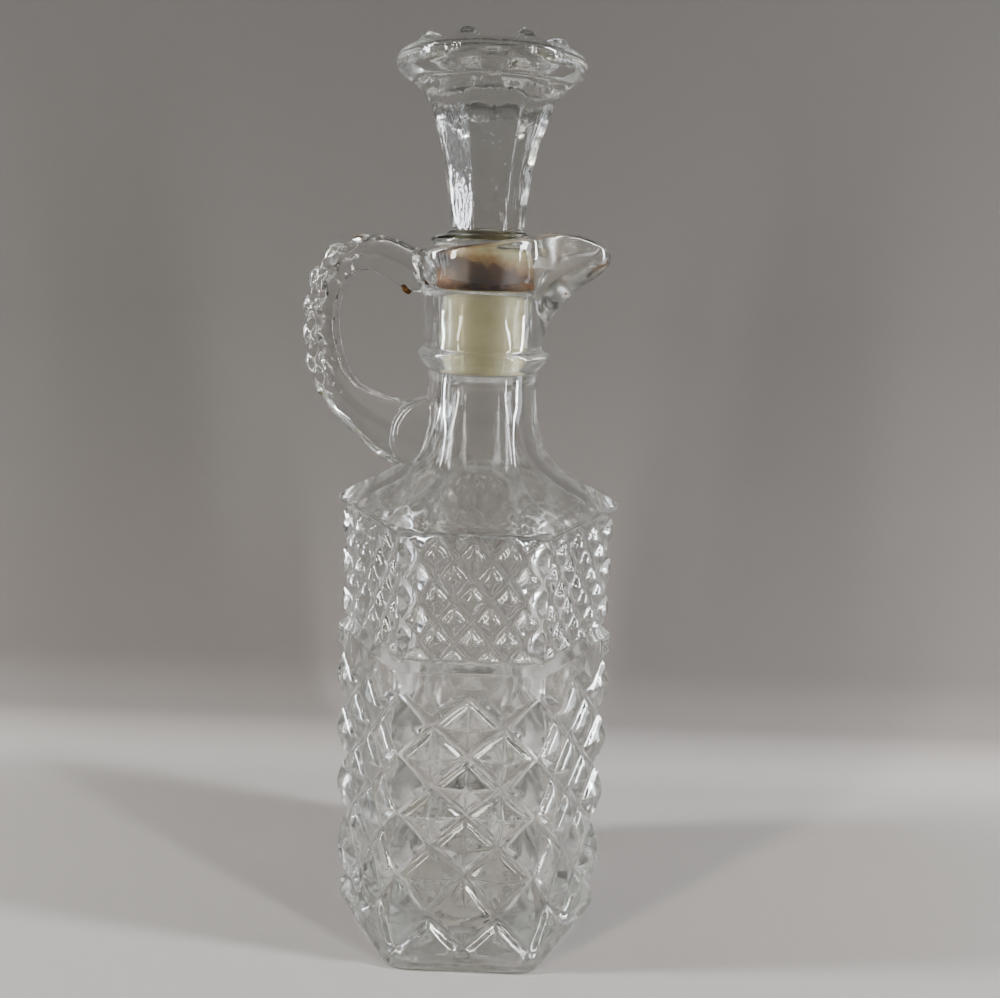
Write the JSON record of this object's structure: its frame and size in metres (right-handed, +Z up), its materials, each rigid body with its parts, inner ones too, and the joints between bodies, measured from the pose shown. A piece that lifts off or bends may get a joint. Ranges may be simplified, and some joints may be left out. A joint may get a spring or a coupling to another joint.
{
  "type": "glass cruet",
  "caption": "Six-sided pressed-glass cruet with diamond relief, pouring lip, loop handle and a panelled glass stopper in a plastic sleeve that lifts out.",
  "frame": {"origin": "centre of the flat base of the bottle, on the neck axis, where the cruet stands", "axes": "+Z up along the neck axis; +X towards the pouring lip; the loop handle is on -X; a flat face of the hexagonal body looks along -Y"},
  "size_m": [0.0785, 0.061, 0.2162],
  "materials": {
    "bottle_glass": "clear pressed soda-lime glass, fire polished, faintly grey",
    "stopper_glass": "clear pressed soda-lime glass, fire polished",
    "sleeve_plastic": "translucent polyethylene, aged to pale yellow-green, with dried brown residue at its collar"
  },
  "bodies": {
    "cruet": {"bottle": "bottle_glass", "handle": "bottle_glass"},
    "sleeve": {"stopper_sleeve": "sleeve_plastic"},
    "glass_stopper": {"stopper": "stopper_glass"}
  },
  "joints": [
    {"name": "stopper_lift", "type": "slide", "parent": "cruet", "child": "sleeve", "axis": [0, 0, 1], "range_m": [0, 0.06]},
    {"name": "stopper_turn", "type": "hinge", "parent": "sleeve", "child": "glass_stopper", "pos_m": [0, 0, 0.165], "axis": [0, 0, 1], "continuous": true}
  ]
}
